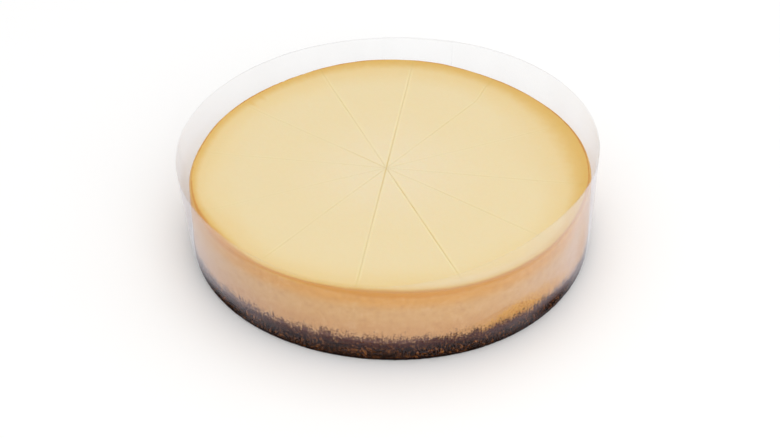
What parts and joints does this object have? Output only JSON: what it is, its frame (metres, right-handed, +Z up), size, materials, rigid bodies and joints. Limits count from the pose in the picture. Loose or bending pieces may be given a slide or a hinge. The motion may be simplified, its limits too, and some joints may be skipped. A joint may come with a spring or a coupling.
{
  "type": "cheesecake",
  "caption": "Round baked cheesecake with a pale golden filling on a dark crumb base, cut into even slices and wrapped in a clear film collar.",
  "frame": {"origin": "on the ground, at the middle of the bounding box's underside, within 2 mm of the middle of the cake", "axes": "+Z up through the cake; +X to the right and +Y to the back as the cake is seen in the picture"},
  "size_m": [0.2679, 0.2609, 0.0748],
  "materials": {
    "filling": "baked cream-cheese filling, satin, pale yellow on top with a narrow golden-brown rim and a tan side",
    "crumb_base": "pressed biscuit crumbs, matt and grainy, dark brown with lighter golden crumbs",
    "film": "thin clear plastic cake film, slightly hazy with a faint lilac cast, glossy"
  },
  "bodies": {
    "root": {"crumb_base_01": "crumb_base", "crumb_base_02": "crumb_base", "crumb_base_03": "crumb_base", "crumb_base_04": "crumb_base", "crumb_base_05": "crumb_base", "crumb_base_06": "crumb_base", "crumb_base_07": "crumb_base", "crumb_base_08": "crumb_base", "crumb_base_09": "crumb_base", "crumb_base_10": "crumb_base", "crumb_base_11": "crumb_base", "crumb_base_12": "crumb_base", "filling_01": "filling", "filling_02": "filling", "filling_03": "filling", "filling_04": "filling", "filling_05": "filling", "filling_06": "filling", "filling_07": "filling", "filling_08": "filling", "filling_09": "filling", "filling_10": "filling", "filling_11": "filling", "filling_12": "filling", "film_collar": "film"}
  },
  "joints": []
}
